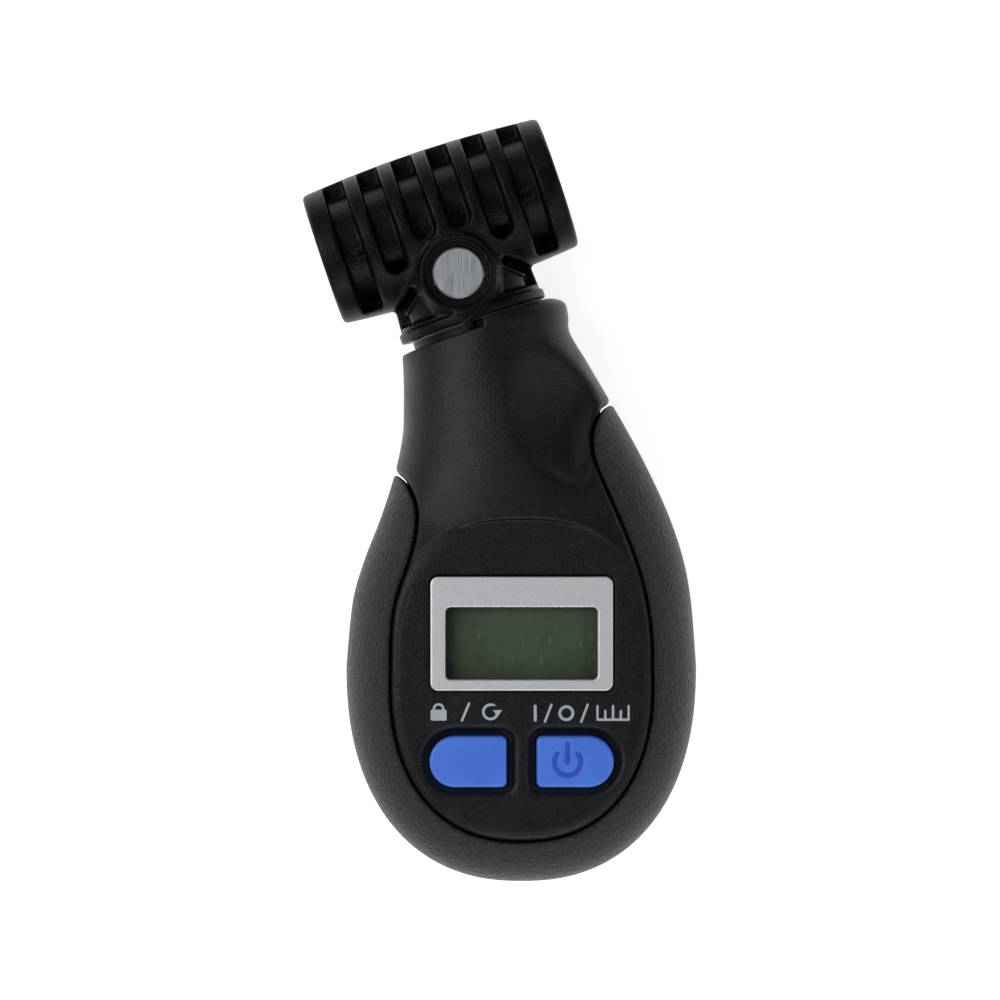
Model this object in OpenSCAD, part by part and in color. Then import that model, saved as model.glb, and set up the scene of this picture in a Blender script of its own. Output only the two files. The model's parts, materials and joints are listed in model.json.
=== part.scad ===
// Digital tyre pressure gauge with a swivelling two-ended valve head.
// It lies on its back: +Z is up out of the display, +Y runs to the head, +X to the right of the display.
// The origin is on the flat of the back, under the display. Millimetres.

/* [Body] */
// Height of the plane where the two housings meet
mid_z = 15; // [14.5:0.1:15.5]
// Height of the display face above the back
face_z = 28.5; // [28.2:0.1:28.7]
// Half width of the bulb
bulb_half = 27.5; // [26.5:0.1:28.5]
// Length of the bulb below its widest place
bulb_drop = 33.9; // [32:0.1:35]
// Thickness of the rubber sleeve
grip_t = 2.2; // [1.8:0.1:2.4]
// Wall of the housings inside the sleeve
wall = 2.2; // [2:0.1:2.4]
// Gap between the sleeve and the housings
grip_gap = 0.35; // [0.2:0.05:0.5]

/* [Face] */
// Half width of the oval face
oval_half = 20.2; // [19.8:0.1:20.6]
// Half length of the oval face
oval_long = 24.6; // [24.2:0.1:24.9]
// Centre of the oval face along the body
oval_y = 1.9; // [1.7:0.1:2.1]
// Width of the display bezel
bezel_w = 28.2; // [27.5:0.1:29]
// Height of the display bezel
bezel_h = 17.6; // [17:0.1:18]
// Centre of the bezel along the body
bezel_y = 9.3; // [9:0.1:9.6]
// Width of the visible display
screen_w = 23.6; // [23:0.1:24]
// Height of the visible display
screen_h = 11.3; // [10.8:0.1:11.6]
// Centre of the visible display along the body
screen_y = 7.8; // [7.6:0.1:8]

/* [Buttons] */
// Length of a button cap
button_w = 11.9; // [11.6:0.1:12.4]
// Width of a button cap
button_h = 7.9; // [7.6:0.1:8.2]
// Half the space between the two caps
button_in = 2.3; // [2.2:0.1:2.6]
// Centre of the caps along the body
button_y = -10.4; // [-10.6:0.1:-9.8]
// How far a button travels
button_travel = 0.5; // [0.3:0.1:0.5]

/* [Head] */
// Lean of the neck and the head
tilt = 18.5; // [17:0.5:20]
// Length of the head's barrel
barrel_len = 39; // [38:0.1:39.6]
// Radius of the barrel at its middle
barrel_r = 11.5; // [11.2:0.1:11.7]
// Radius of the barrel at its ends
barrel_end_r = 10.5; // [10.2:0.1:10.8]
// Distance from the pin to the barrel's axis
barrel_v = 9.2; // [9:0.1:9.4]
// Distance between the ribs
rib_pitch = 5.75; // [5.6:0.05:5.9]
// Width of a rib
rib_w = 2.25; // [2:0.05:2.5]
// Radius of the head pin
pin_r = 4; // [3.9:0.05:4.05]
// Radius of the collar at the foot of the head
collar_r = 11.9; // [11.7:0.1:12]
// Radius of the mouth for the wide valve
wide_mouth_r = 4.2; // [4.1:0.05:4.3]
// Radius of the mouth for the narrow valve
narrow_mouth_r = 3.3; // [3.2:0.05:3.4]

/* [Hidden] */

// Centre of the head pin, on the neck's axis
pin_x = -9.8;
pin_y = 65.1;
// Places along the neck's axis, measured from the pin: + is towards the barrel
foot_v = -7.4;       // underside of the head's collar
rim_v = -7.75;       // top of the high half of the neck's rim
low_rim_v = -9;      // top of the low half, where the stop tab runs
seat_v = -10.7;      // bottom of the socket's flange
socket_end_v = -21.5;
stem_end_v = -19.4;
clip_v = -17.5;
tube_end_v = -30.6;
rim_bore_r = 10.3;
socket_r = 8;
stem_r = 4;
air_r = 1.1;         // bore that the air runs through
barb_r = 1.5;
tab_w = 1.3;
tab_u = -1;
running = 0.05;      // radial clearance of a running fit

// Heights in the body
bezel_floor_z = 27.7;
bezel_top_z = 29.1;
inside_top_z = 26.3;
inside_floor_z = 2.4;
cap_top_z = 29.7;
flange_z = 25.35;    // underside of a button's flange
board_z = 21.5;
board_t = 1.2;
frame_w = 29.4;      // frame that holds the display over the board
frame_h = 18.4;
frame_y = 8.4;
battery_y = 6;
cover_r = 13;
battery_r = 10;
tray_r = 14.6;
screw_spots = [[-12.3, -14.6], [12.3, -14.6], [-13, 34], [8.5, 37.5]];
board_screw_spots = [[-13, -3.2], [13, -3.2]];
eye_r = 5.3;         // eye of the stem, round the pin
shuttle_r = 2.5;

bulb_y = 4;          // widest place of the bulb
bulb_power = 2.3;    // roundness of the bulb in plan
end_power = 2.8;     // roundness of the bulb's end seen from the side
front_h = 17.5;      // depth of the bulb in front of the middle plane
back_h = 16.8;       // and behind it
facets = 40;         // points round a section of the body
$fn = 64;

// Sections of the body from the neck's rim down to the widest place. Each row is the left
// point, the right point, the height to the front, the depth to the back and the roundness.
sections = [
    [-18.7, 54.0, 4.7, 61.8, 11.9, 11.9, 2.0],
    [-18.7, 52.5, 6.8, 61.0, 12.0, 12.0, 2.0],
    [-18.6, 50.6, 7.4, 59.0, 12.1, 12.1, 2.0],
    [-18.5, 48.0, 7.7, 56.2, 12.3, 12.3, 2.05],
    [-18.5, 44.5, 10.4, 51.6, 12.6, 12.7, 2.1],
    [-18.6, 40.8, 13.4, 46.5, 13.0, 13.4, 2.15],
    [-19.2, 37.0, 16.6, 41.0, 13.4, 14.4, 2.2],
    [-20.4, 32.3, 20.0, 34.6, 13.8, 15.3, 2.3],
    [-22.3, 26.6, 23.3, 27.3, 14.1, 15.9, 2.4],
    [-24.7, 20.4, 25.5, 20.6, 15.8, 16.3, 2.5],
    [-26.5, 14.0, 26.7, 14.0, 17.1, 16.6, 2.5],
    [-bulb_half, bulb_y, bulb_half, bulb_y, front_h, back_h, 2.5]
];

// ---- curves ----

function spline(a, b, c, d, t) =
    0.5 * ((2 * b) + (c - a) * t + (2 * a - 5 * b + 4 * c - d) * t * t
        + (3 * b - a - 3 * c + d) * t * t * t);

function row_at(list, s) =
    let (n = len(list), k = min(floor(s), n - 2), t = s - k)
    spline(list[max(k - 1, 0)], list[k], list[k + 1], list[min(k + 2, n - 1)], t);

// A section row moved inwards on every side
function inset_row(r, d) =
    let (v = [r[2] - r[0], r[3] - r[1]], e = v / norm(v) * d)
    [r[0] + e[0], r[1] + e[1], r[2] - e[0], r[3] - e[1], r[4] - d, r[5] - d, r[6]];

// The round end of the bulb, for an angle from 0 at the widest place to 90 at the tip
function end_row(a, d) =
    let (drop = pow(sin(a), 2 / bulb_power), half = pow(cos(a), 2 / bulb_power),
         rise = pow(1 - pow(drop, end_power), 1 / end_power), w = (bulb_half - d) * half,
         y = bulb_y - (bulb_drop - d) * drop)
    [-w, y, w, y, (front_h - d) * rise, (back_h - d) * rise, 2.5];

function body_rows(d, first, step) =
    concat([for (s = [first:step:len(sections) - 1 - step / 2]) inset_row(row_at(sections, s), d)],
           [for (a = [0, 14, 26, 37, 47, 56, 64, 71, 77, 82, 86, 89]) end_row(a, d)]);

// The points round one section
function ring(r) =
    let (c = [r[0] + r[2], r[1] + r[3]] / 2, h = [r[2] - r[0], r[3] - r[1]] / 2, n = r[6])
    [for (j = [0:facets - 1])
        let (a = 360 * j / facets, k = pow(pow(abs(cos(a)), n) + pow(abs(sin(a)), n), -1 / n),
             z = k * sin(a) * (sin(a) > 0 ? r[4] : r[5]))
        [c[0] + h[0] * k * cos(a), c[1] + h[1] * k * cos(a), mid_z + z]];

module slice(a, b) {
    m = len(a);
    hull() polyhedron(
        points = concat(a, b),
        faces = concat([[for (j = [0:m - 1]) j]], [[for (j = [0:m - 1]) 2 * m - 1 - j]],
                       [for (j = [0:m - 1]) [j, m + j, m + (j + 1) % m, (j + 1) % m]]));
}

// The body's outer form, moved inwards by d
module body_form(d = 0, first = 0, step = 0.5) {
    rows = body_rows(d, first, step);
    for (k = [0:len(rows) - 2]) slice(ring(rows[k]), ring(rows[k + 1]));
}

function arc(cx, cy, r, from, to, n = 6) =
    [for (i = [0:n]) let (a = from + (to - from) * i / n) [cx + r * cos(a), cy + r * sin(a)]];

function rounded(w, h, r) =
    concat(arc(w / 2 - r, h / 2 - r, r, 0, 90), arc(r - w / 2, h / 2 - r, r, 90, 180),
           arc(r - w / 2, r - h / 2, r, 180, 270), arc(w / 2 - r, r - h / 2, r, 270, 360));

// The oval face, with flatter shoulders at its top
function oval() =
    [for (i = [0:71]) let (a = 5 * i, p = sin(a) > 0 ? 2.6 : 2.3,
         k = pow(pow(abs(cos(a)), p) + pow(abs(sin(a)), p), -1 / p))
        [oval_half * k * cos(a), oval_y + oval_long * k * sin(a)]];

// The sleeve's edge beside the neck, from the side of the body down to the oval
left_edge = [[-26, 37.5], [-19.6, 34.2], [-17.4, 32], [-16.2, 29], [-16.1, 26], [-16.6, 22.8], [-17.6, 19.4],
             [-18.8, 16], [-19.7, 12.5], [-20.1, 8]];
right_edge = [[20.1, 8], [19.6, 12.5], [18.8, 16.5], [17.6, 20.6], [16.1, 24.6], [14.5, 28.4], [12.9, 32],
              [11.5, 35.4], [10.9, 38.2], [11.1, 41], [12.2, 43.6], [14, 45.2], [24, 50.5]];

function smooth(list, n = 3) =
    [for (s = [0:1 / n:len(list) - 1]) row_at(list, s)];

// Plan of everything inside the sleeve's edge: the oval below, the neck above
module inner_plan() {
    polygon(concat(smooth(left_edge),
        [for (i = [1:21]) let (a = 180 + i * 180 / 22, p = 2.3,
             k = pow(pow(abs(cos(a)), p) + pow(abs(sin(a)), p), -1 / p))
            [oval_half * k * cos(a), oval_y + oval_long * k * sin(a)]],
        smooth(right_edge), [[24, 75], [-30, 75]]));
}

// ---- frames ----

// The head's frame: x along the barrel, y along the neck's axis, z to the front
module at_head() {
    translate([pin_x, pin_y, mid_z]) rotate([0, 0, tilt]) children();
}

// A frame at place v on the neck's axis, with z along that axis towards the barrel
module on_neck(v) {
    at_head() translate([0, v, 0]) rotate([-90, 0, 0]) children();
}

// A frame at the barrel's middle, with z along the barrel to the right
module on_barrel() {
    at_head() translate([0, barrel_v, 0]) rotate([0, 90, 0]) children();
}

module tube(r_out, r_in, h) {
    difference() {
        cylinder(r = r_out, h = h);
        translate([0, 0, -1]) cylinder(r = r_in, h = h + 2);
    }
}

module torus(major, minor) {
    rotate_extrude() translate([major, 0]) circle(r = minor, $fn = 32);
}

// Plan of a button cap, grown by d: round at its outer end. side is -1 on the left, 1 on the right
module cap_plan(side, d = 0) {
    r = button_h / 2;
    c = 0.9;
    far = button_in + button_w;
    pts = concat(arc(far - r, 0, r + d, -90, 90, 16), arc(button_in + c, r - c, c + d, 90, 180, 4),
                 arc(button_in + c, c - r, c + d, 180, 270, 4));
    mirror([side < 0 ? 1 : 0, 0]) translate([0, button_y]) polygon(pts);
}

// Thumb scoop in the right side of the neck, front and back
module thumb_scoop() {
    for (s = [1, -1])
        translate([10.5, 47.5, mid_z + s * 15]) rotate([0, 0, -62])
            scale([13.5, 7.5, 7]) sphere(r = 1, $fn = 32);
}

// ---- handle ----

// What both housings start from: full size inside the sleeve's edge, thinner under the sleeve.
// The children are the bosses that stand in its hollow
module housing_blank() {
    difference() {
        union() {
            intersection() {
                body_form();
                linear_extrude(height = 40) inner_plan();
            }
            body_form(grip_t + 0.1, 5, 0.5);
        }
        difference() {
            intersection() {
                body_form(grip_t + wall + 0.1, 3.5, 0.5);
                translate([-40, -40, inside_floor_z]) cube([80, 120, inside_top_z - inside_floor_z]);
            }
            children();
        }
        // seat of the swivel socket
        on_neck(seat_v) cylinder(r = rim_bore_r, h = 8, $fn = 54);
        on_neck(-24) cylinder(r = socket_r + 0.1, h = 20, $fn = 40);
        // low half of the rim, with a stop step at each end
        at_head() translate([0, low_rim_v, 0]) rotate([-90, 0, 0]) linear_extrude(height = 6)
            polygon([[-20, -20], [1.2, -20], [1.2, 0], [2.6, 0], [2.6, 20], [-20, 20]]);
        thumb_scoop();
        // the flat that the gauge lies on
        translate([-40, -60, -10]) cube([80, 160, 10]);
    }
}

module front_housing() {
    color([0.1, 0.1, 0.11]) difference() {
        housing_blank() {
            for (p = screw_spots) translate([p[0], p[1], mid_z]) cylinder(r = 2.6, h = 15, $fn = 24);
            for (p = board_screw_spots)
                translate([p[0], p[1], board_z + board_t]) cylinder(r = 1.9, h = 8, $fn = 24);
        }
        translate([-50, -60, mid_z - 30]) cube([100, 160, 30]);
        // room for the display's frame
        translate([0, frame_y, board_z]) linear_extrude(height = inside_top_z - board_z)
            polygon(rounded(frame_w + 0.4, frame_h + 0.4, 1));
        // the face, sunk level inside its oval
        translate([0, 0, face_z]) linear_extrude(height = 10) polygon(oval());
        // seat and opening of the display
        translate([0, bezel_y, bezel_floor_z]) linear_extrude(height = 5)
            polygon(rounded(bezel_w + 0.3, bezel_h + 0.3, 1.3));
        translate([0, screen_y, inside_top_z - 1]) linear_extrude(height = 5)
            polygon(rounded(screen_w + 0.8, screen_h + 0.8, 1));
        for (side = [-1, 1]) {
            translate([0, 0, inside_top_z - 1]) linear_extrude(height = 5) cap_plan(side, 0.25);
            translate([0, 0, face_z - 0.45]) linear_extrude(height = 5) cap_plan(side, 1.2);
            translate([0, 0, 24.7]) linear_extrude(height = inside_top_z - 24.7) cap_plan(side, 1.3);
        }
        for (p = screw_spots) translate([p[0], p[1], mid_z - 1]) cylinder(r = 1.05, h = 8, $fn = 24);
        for (p = board_screw_spots) translate([p[0], p[1], board_z]) cylinder(r = 0.75, h = 4.6, $fn = 24);
    }
}

module rear_housing() {
    color([0.1, 0.1, 0.11]) difference() {
        housing_blank() {
            for (p = screw_spots) translate([p[0], p[1], -5]) cylinder(r = 3.4, h = mid_z + 5, $fn = 24);
        }
        translate([-50, -60, mid_z - 0.05]) cube([100, 160, 30]);
        translate([0, battery_y, -1]) cylinder(r = cover_r + 0.25, h = 5, $fn = 72);
        translate([0, battery_y, inside_floor_z - 0.03]) cylinder(r = tray_r + 0.2, h = 5, $fn = 72);
        for (p = screw_spots) {
            translate([p[0], p[1], -1]) cylinder(r = 2.4, h = 6, $fn = 24);
            translate([p[0], p[1], -1]) cylinder(r = 1.4, h = 18, $fn = 24);
        }
    }
}

module grip_sleeve() {
    color([0.13, 0.13, 0.14]) difference() {
        body_form(0, 4.5, 0.5);
        body_form(grip_t, 3, 0.5);
        translate([0, 0, -10]) linear_extrude(height = 50) offset(delta = grip_gap) inner_plan();
        thumb_scoop();
        translate([-40, -60, -10]) cube([80, 160, 10]);
    }
}

module display_bezel() {
    color([0.72, 0.73, 0.75]) difference() {
        translate([0, bezel_y, bezel_floor_z + 0.05])
            linear_extrude(height = bezel_top_z - bezel_floor_z - 0.05) polygon(rounded(bezel_w, bezel_h, 1.2));
        translate([0, screen_y, 20]) linear_extrude(height = 12) polygon(rounded(screen_w, screen_h, 0.9));
        translate([0, screen_y, 20]) linear_extrude(height = 8.55)
            polygon(rounded(screen_w + 1.6, screen_h + 1.7, 0.5));
    }
}

module display_window() {
    color([0.8, 0.85, 0.85, 0.35]) translate([0, screen_y, bezel_floor_z + 0.08])
        linear_extrude(height = 0.74) polygon(rounded(screen_w + 1.4, screen_h + 1.5, 0.4));
}

module lcd_panel() {
    color([0.24, 0.3, 0.23]) translate([-13.2, 0.7, 24.25]) cube([26.4, 15.4, 1.8]);
}

module display_frame() {
    color([0.2, 0.2, 0.2]) translate([0, frame_y, board_z + board_t]) difference() {
        linear_extrude(height = 3.5) polygon(rounded(frame_w, frame_h, 1));
        translate([-13.4, -7.9, -1]) cube([26.8, 15.8, 6]);
    }
}

module zebra_strips() {
    color([0.85, 0.6, 0.6]) for (y = [1.6, 13.6])
        translate([-12, y, board_z + board_t + 0.02]) cube([24, 1.6, 1.5]);
}

module circuit_board() {
    color([0.1, 0.35, 0.18]) translate([0, 0, board_z]) difference() {
        linear_extrude(height = board_t) union() {
            polygon([[-15, -12], [-11, -16], [11, -16], [15, -12], [15, 20], [10, 26], [-10, 26], [-15, 20]]);
            polygon([[-6, 25], [5.2, 25], [5.2, 35.5], [4, 37], [-4.5, 37], [-6, 35.5]]);
        }
        for (p = board_screw_spots) translate([p[0], p[1], -1]) cylinder(r = 1.1, h = 4);
        for (p = screw_spots) translate([p[0], p[1], -1]) cylinder(r = 2.9, h = 4);
    }
}

module controller_chip() {
    color([0.08, 0.08, 0.08]) translate([0, 13, board_z - 0.02]) mirror([0, 0, 1])
        rotate_extrude() polygon([[0, 0], [4.5, 0], [4.3, 0.5], [3.6, 0.9], [2.4, 1.2], [0, 1.35]]);
}

module board_screws() {
    color([0.75, 0.75, 0.78]) for (p = board_screw_spots) translate([p[0], p[1], 0]) {
        translate([0, 0, board_z - 1.32]) cylinder(r = 1.9, h = 1.3);
        translate([0, 0, board_z - 0.5]) cylinder(r = 0.7, h = 4.6);
    }
}

// Each plunger ends just below its cap's flange with the cap pressed
module tact_switches() {
    foot_z = board_z + board_t + 0.02;
    for (s = [-1, 1]) translate([s * (button_in + button_w / 2), button_y, foot_z]) {
        color([0.75, 0.75, 0.77]) translate([-2.25, -2.25, 0]) cube([4.5, 4.5, 1.5]);
        color([0.1, 0.1, 0.1]) cylinder(r = 1.4, h = flange_z - button_travel - 0.03 - foot_z);
    }
}

module pressure_sensor() {
    color([0.78, 0.78, 0.8]) at_head() translate([0, -35.2, 0]) difference() {
        translate([0, 0, 4.29]) cylinder(r = 3.7, h = board_z - mid_z - 4.31);
        translate([0, 0, 4]) cylinder(r = 0.8, h = 1.6);
    }
}

module sensor_manifold() {
    color([0.85, 0.83, 0.78]) at_head() difference() {
        union() {
            translate([-4.4, -39.8, -2.4]) cube([8.8, 8.8, 6.2]);
            translate([0, -31.2, 0]) rotate([-90, 0, 0]) cylinder(r = barb_r, h = 4.4);
        }
        translate([0, -35.2, 0]) rotate([-90, 0, 0]) cylinder(r = 0.8, h = 9);
        translate([0, -35.2, 0]) cylinder(r = 0.8, h = 6);
        translate([0, -35.2, 3.2]) tube(3, 1.9, 2);
    }
}

module manifold_seal() {
    color([0.6, 0.15, 0.12]) at_head() translate([0, -35.2, 3.78]) torus(2.45, 0.5);
}

module air_tube() {
    color([0.85, 0.85, 0.83]) on_neck(tube_end_v) tube(2.6, barb_r + 0.03, socket_end_v - tube_end_v - 0.3);
}

module swivel_socket() {
    color([0.12, 0.12, 0.12]) difference() {
        union() {
            on_neck(seat_v + 0.05) cylinder(r = rim_bore_r - 0.1, h = rim_v - seat_v - 0.05);
            on_neck(socket_end_v) cylinder(r = socket_r, h = seat_v - socket_end_v + 0.5);
            on_neck(socket_end_v - 4) cylinder(r = barb_r, h = 5);
        }
        on_neck(stem_end_v - 0.4) cylinder(r = stem_r + running, h = 20);
        on_neck(socket_end_v - 5) cylinder(r = 0.8, h = 8);
        at_head() translate([-6.1, clip_v - 0.45, -6.1]) cube([12.2, 0.9, 20]);
    }
}

module stem_retainer() {
    color([0.7, 0.7, 0.72]) at_head() translate([0, clip_v - 0.35, 0]) rotate([-90, 0, 0])
        linear_extrude(height = 0.7) difference() {
            intersection() {
                circle(r = 6);
                translate([-5.9, -5.6, 0]) square([11.8, 11.5]);
            }
            circle(r = 3.15);
            translate([-3.15, 0]) square([6.3, 8]);
        }
}

module battery_tray() {
    color([0.14, 0.14, 0.14]) translate([0, battery_y, 0]) difference() {
        translate([0, 0, inside_floor_z + 0.05]) cylinder(r = tray_r, h = 6.55);
        translate([0, 0, 1]) cylinder(r = 12.7, h = 2.1);
        translate([0, 0, 2]) cylinder(r = 11.25, h = 6.1);
        // ring groove and the three slots that let the cover's lugs in
        translate([0, 0, 3.95]) cylinder(r = 12.3, h = 1.4);
        for (a = [60, 180, 300]) rotate([0, 0, a]) translate([9, -2.6, 2]) cube([3.3, 5.2, 3]);
        // slots for the two contacts
        translate([-1.7, -9.2, 7]) cube([3.4, 18.4, 3]);
        translate([6.6, -1.7, 7]) cube([4.6, 3.4, 3]);
    }
}

module battery_cell() {
    color([0.8, 0.8, 0.8]) translate([0, battery_y, 2.5]) {
        cylinder(r = battery_r - 0.7, h = 3.2);
        cylinder(r = battery_r, h = 2.6);
    }
}

module contact_minus() {
    color([0.8, 0.7, 0.4]) translate([0, battery_y, 0]) {
        translate([-1.5, -9, 7.4]) cube([3, 18, 0.3]);
        translate([0, 0, 5.75]) cylinder(r = 1.4, h = 1.8);
        translate([-1.5, -9, 7.4]) cube([3, 0.4, 2.6]);
    }
}

module contact_plus() {
    color([0.8, 0.7, 0.4]) translate([0, battery_y, 0]) {
        translate([10.15, -1.5, 3.2]) cube([0.3, 3, 6.6]);
        translate([7.2, -1.5, 9.3]) cube([3.2, 3, 0.5]);
    }
}

module housing_screws() {
    color([0.6, 0.6, 0.62]) for (p = screw_spots) translate([p[0], p[1], 0]) difference() {
        union() {
            translate([0, 0, 3.3]) cylinder(r = 2.2, h = 1.65);
            translate([0, 0, 4]) cylinder(r = 1, h = 17);
        }
        for (a = [0, 90]) translate([0, 0, 3.3]) rotate([0, 0, a]) cube([2.4, 0.5, 1.8], center = true);
    }
}

// ---- moving parts of the handle ----

module button(side) {
    difference() {
        union() {
            translate([0, 0, inside_top_z - 0.3]) linear_extrude(height = cap_top_z - inside_top_z + 0.3)
                cap_plan(side);
            translate([0, 0, flange_z]) linear_extrude(height = 0.85) cap_plan(side, 1);
        }
        if (side > 0) power_icon();
    }
}

// Ring with a gap at its top and a bar through the gap, sunk into the right cap
module power_icon() {
    translate([7.1, button_y, cap_top_z - 0.2]) linear_extrude(height = 1) {
        difference() {
            circle(r = 2.4);
            circle(r = 1.65);
            polygon([[0, 0.2], [-2.4, 3.4], [2.4, 3.4]]);
        }
        translate([-0.42, -0.2]) square([0.84, 3.2]);
    }
}

module hold_button() {
    color([0.2, 0.4, 0.85]) button(-1);
}

module power_button() {
    color([0.2, 0.4, 0.85]) button(1);
}

module battery_cover() {
    color([0.1, 0.1, 0.11]) translate([0, battery_y, 0]) difference() {
        union() {
            cylinder(r = cover_r, h = 2.2);
            translate([0, 0, 2]) tube(11, battery_r + 0.2, 3.2);
            for (a = [0, 120, 240]) rotate([0, 0, a]) intersection() {
                translate([9, -2.2, 4.1]) cube([3.2, 4.4, 1.1]);
                tube(12.1, 10.6, 9);
            }
        }
        // coin slot
        translate([-7, -0.9, -1]) cube([14, 1.8, 2.3]);
        // room for the upright contact over the whole turn
        rotate([0, 0, -10]) rotate_extrude(angle = 81) translate([battery_r + 0.05, 3]) square([0.62, 4]);
    }
}

module cover_seal() {
    color([0.6, 0.15, 0.12]) translate([0, battery_y, 2.65]) torus(11.9, 0.43);
}

// ---- head ----

// Half section of the barrel, from its middle to one end, with a round corner
function barrel_profile() =
    let (half = barrel_len / 2, c = 1)
    concat([for (i = [0:5]) let (s = (half - c) * i / 5)
                [barrel_r - (barrel_r - barrel_end_r) * pow(s / half, 2), s]],
           [for (i = [1:4]) let (a = 90 * i / 4)
                [barrel_end_r - c + c * cos(a), half - c + c * sin(a)]]);

module barrel() {
    p = barrel_profile();
    n = len(p);
    rotate_extrude() polygon(concat(
        [[0, barrel_len / 2]], [for (i = [n - 1:-1:0]) p[i]],
        [for (i = [1:n - 1]) [p[i][0], -p[i][1]]], [[0, -barrel_len / 2]]));
}

// A groove between two ribs: open at the crown, round at its lower end
module groove(u, low) {
    w = rib_pitch - rib_w;
    translate([u, low + w / 2]) circle(r = w / 2);
    translate([u - w / 2, low + w / 2]) square([w, 30]);
}

module head_pockets() {
    for (s = [-1, 1]) {
        groove(s * rib_pitch / 2, barrel_v - 2.6);
        groove(s * rib_pitch * 1.5, barrel_v - 5.7);
        translate([s * rib_pitch * 2.5 - (rib_pitch - rib_w) / 2, -14]) square([rib_pitch - rib_w, 40]);
        // three-cornered pocket beside the pin
        mirror([s < 0 ? 1 : 0, 0]) difference() {
            polygon([[5.2, -5.3], [7.1, 0.6], [8, 0.5], [13, -2.9], [13, -5.7], [7, -5.7]]);
            circle(r = 6.7);
        }
    }
}

module head_shell() {
    color([0.09, 0.09, 0.1]) difference() {
        union() {
            difference() {
                union() {
                    on_barrel() barrel();
                    on_neck(foot_v) cylinder(r = collar_r, h = 1.8);
                    on_neck(foot_v + 1) cylinder(r = 11.5, h = barrel_v - foot_v - 1);
                }
                for (s = [-1, 1]) at_head() mirror([0, 0, s < 0 ? 1 : 0]) translate([0, 0, 0.8])
                    linear_extrude(height = 20) head_pockets();
            }
            on_barrel() cylinder(r = 8.3, h = barrel_len - 1, center = true);
            on_neck(foot_v + 0.5) cylinder(r = 8, h = barrel_v - foot_v - 0.5);
            at_head() cylinder(r = 6.2, h = 22.6, center = true);
            // stop tab
            at_head() translate([tab_u - tab_w / 2, foot_v - 1.35, 10.5]) cube([tab_w, 2, 1.1]);
        }
        // pin bore and the shallow seats round its ends
        at_head() cylinder(r = pin_r + 0.06, h = 40, center = true);
        for (s = [0, 1]) at_head() mirror([0, 0, s]) translate([0, 0, 10.9]) cylinder(r = 5.5, h = 5);
        // slot for the eye of the stem
        at_head() translate([0, 0, -4]) cylinder(r = eye_r + 0.3, h = 8);
        at_head() translate([-eye_r - 0.3, foot_v - 1, -4]) cube([2 * eye_r + 0.6, 1 - foot_v, 8]);
        // air port from the barrel to the stem's eye, with the seat of its seal
        on_neck(4.5) cylinder(r = 2.2, h = 1.27);
        on_neck(3) cylinder(r = air_r, h = 6);
        // barrel bores
        on_barrel() cylinder(r = shuttle_r + 0.1, h = 20, center = true);
        for (s = [0, 1]) on_barrel() mirror([0, 0, s]) translate([0, 0, 7.6]) cylinder(r = 7.05, h = 20);
    }
}

module head_pin() {
    color([0.8, 0.81, 0.83]) at_head() difference() {
        rotate_extrude() polygon([[0, -11.1], [pin_r - 0.25, -11.1], [pin_r, -10.85], [pin_r, -3], [3.3, -3],
            [3.3, -2], [pin_r, -2], [pin_r, -1.5], [2.8, -1.5], [2.8, 1.5], [pin_r, 1.5], [pin_r, 2], [3.3, 2],
            [3.3, 3], [pin_r, 3], [pin_r, 10.85], [pin_r - 0.25, 11.1], [0, 11.1]]);
        rotate([90, 0, 0]) cylinder(r = 0.8, h = 10, center = true);
    }
}

module pin_orings() {
    color([0.1, 0.1, 0.1]) at_head() for (s = [-1, 1]) translate([0, 0, s * 2.5]) torus(3.66, 0.34);
}

module port_seal() {
    color([0.1, 0.1, 0.1]) on_neck(4.92) tube(2.1, 1.2, 0.83);
}

module swivel_stem() {
    color([0.78, 0.64, 0.35]) difference() {
        union() {
            at_head() cylinder(r = eye_r, h = 7.8, center = true);
            on_neck(stem_end_v) cylinder(r = stem_r, h = -stem_end_v - 3);
        }
        at_head() cylinder(r = pin_r + 0.03, h = 20, center = true);
        on_neck(stem_end_v - 1) cylinder(r = air_r, h = 30);
        on_neck(4.9) cylinder(r = 2.3, h = 2);
        for (v = [-12.4, -15.2]) on_neck(v) tube(6, 3.1, 1.2);
        on_neck(clip_v - 0.5) tube(6, 3, 1);
    }
}

module stem_orings() {
    color([0.1, 0.1, 0.1]) for (v = [-11.8, -14.6]) on_neck(v) torus(3.57, 0.45);
}

module swivel_washer() {
    color([0.9, 0.9, 0.88]) on_neck(rim_v + 0.05) tube(9.4, 4.2, 0.24);
}

// A rubber bush that grips the valve
module valve_seal(hole) {
    translate([0, 0, 7.7]) difference() {
        cylinder(r = 6.9, h = 6.9);
        translate([0, 0, -1]) cylinder(r = hole, h = 9);
        translate([0, 0, 5.8]) cylinder(r1 = hole, r2 = hole + 1, h = 1.15);
    }
}

// Screwed ring that holds a seal in, with two notches for a spanner
module mouth_ring(mouth) {
    translate([0, 0, 14.75]) difference() {
        cylinder(r = 6.98, h = 3.9);
        translate([0, 0, -1]) cylinder(r = mouth, h = 6);
        for (a = [0, 180]) rotate([0, 0, a]) translate([5.4, -0.7, 2.9]) cube([3, 1.4, 2]);
    }
}

module wide_seal() {
    color([0.05, 0.05, 0.05]) on_barrel() mirror([0, 0, 1]) valve_seal(3.75);
}

module narrow_seal() {
    color([0.05, 0.05, 0.05]) on_barrel() valve_seal(2.9);
}

module wide_ring() {
    color([0.2, 0.2, 0.21]) on_barrel() mirror([0, 0, 1]) mouth_ring(wide_mouth_r);
}

module narrow_ring() {
    color([0.2, 0.2, 0.21]) on_barrel() mouth_ring(narrow_mouth_r);
}

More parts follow.
